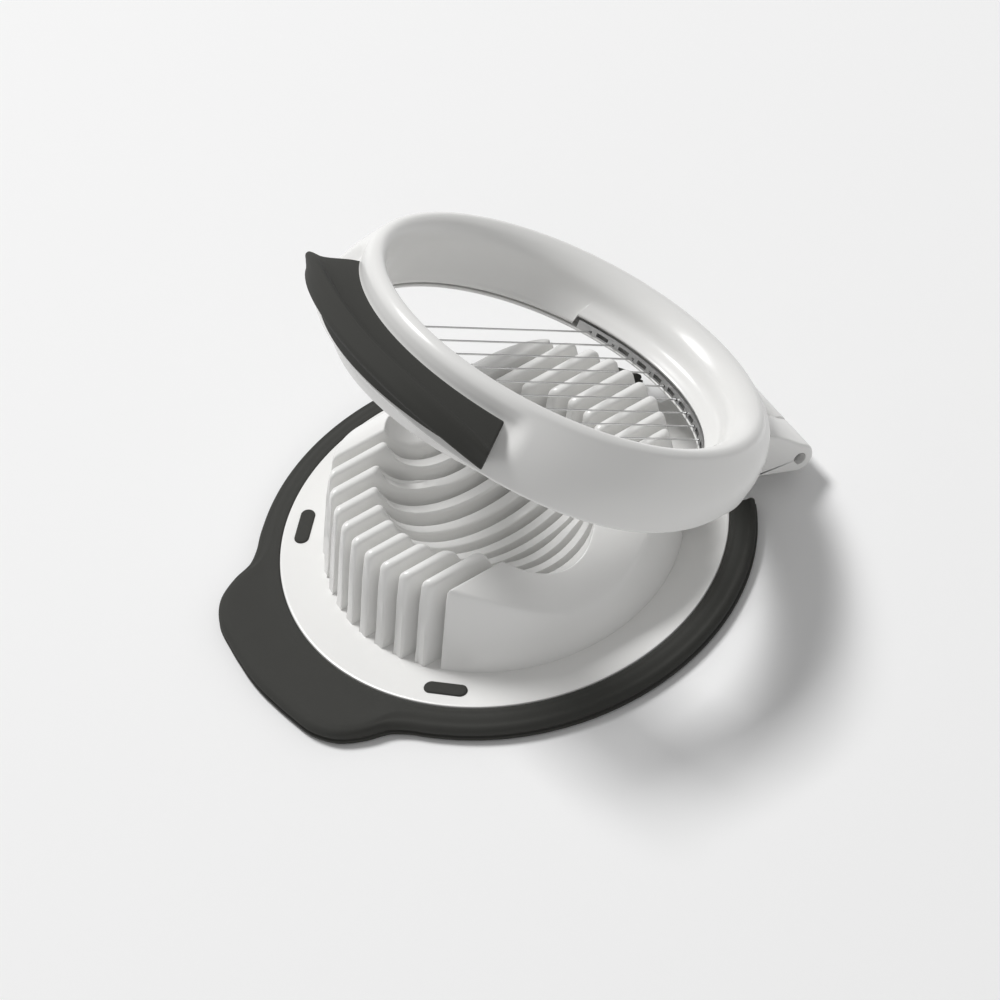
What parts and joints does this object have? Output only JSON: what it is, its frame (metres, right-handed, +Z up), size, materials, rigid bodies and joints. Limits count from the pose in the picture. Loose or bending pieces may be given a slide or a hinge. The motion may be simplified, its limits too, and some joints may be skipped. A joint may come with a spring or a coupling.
{
  "type": "egg slicer",
  "caption": "Countertop egg slicer: a slatted egg cup on a round base with a soft non-slip rim and front tab, and a hinged ring of cutting wires with a soft grip.",
  "frame": {"origin": "centre of the footprint, on the surface that the slicer stands on, on the egg cup's axis to within a millimetre", "axes": "+X along the hinge pin, +Y from the front tab to the hinge, +Z up"},
  "size_m": [0.1116, 0.1316, 0.0841],
  "materials": {
    "white_plastic": "glossy moulded",
    "soft_grip": "soft matte",
    "wire_steel": "drawn wire",
    "rail_steel": "bright rolled",
    "pin_steel": "satin"
  },
  "bodies": {
    "base": {"base_body": "white_plastic", "base_grip": "soft_grip", "hinge_pin": "pin_steel", "foot_front_left": "soft_grip", "foot_front_right": "soft_grip"},
    "lid": {"lid_shell": "white_plastic", "wire_frame": "white_plastic", "lid_grip": "soft_grip", "wire_rail_front": "rail_steel", "wire_rail_rear": "rail_steel", "wire_01": "wire_steel", "wire_02": "wire_steel", "wire_03": "wire_steel", "wire_04": "wire_steel", "wire_05": "wire_steel", "wire_06": "wire_steel", "wire_07": "wire_steel", "wire_08": "wire_steel", "wire_09": "wire_steel", "wire_10": "wire_steel"}
  },
  "joints": [
    {"name": "lid_hinge", "type": "hinge", "parent": "base", "child": "lid", "pos_m": [0, 0.06306, 0.00663], "axis": [-1, 0, 0], "range_deg": [-35.8, 74.2]}
  ]
}
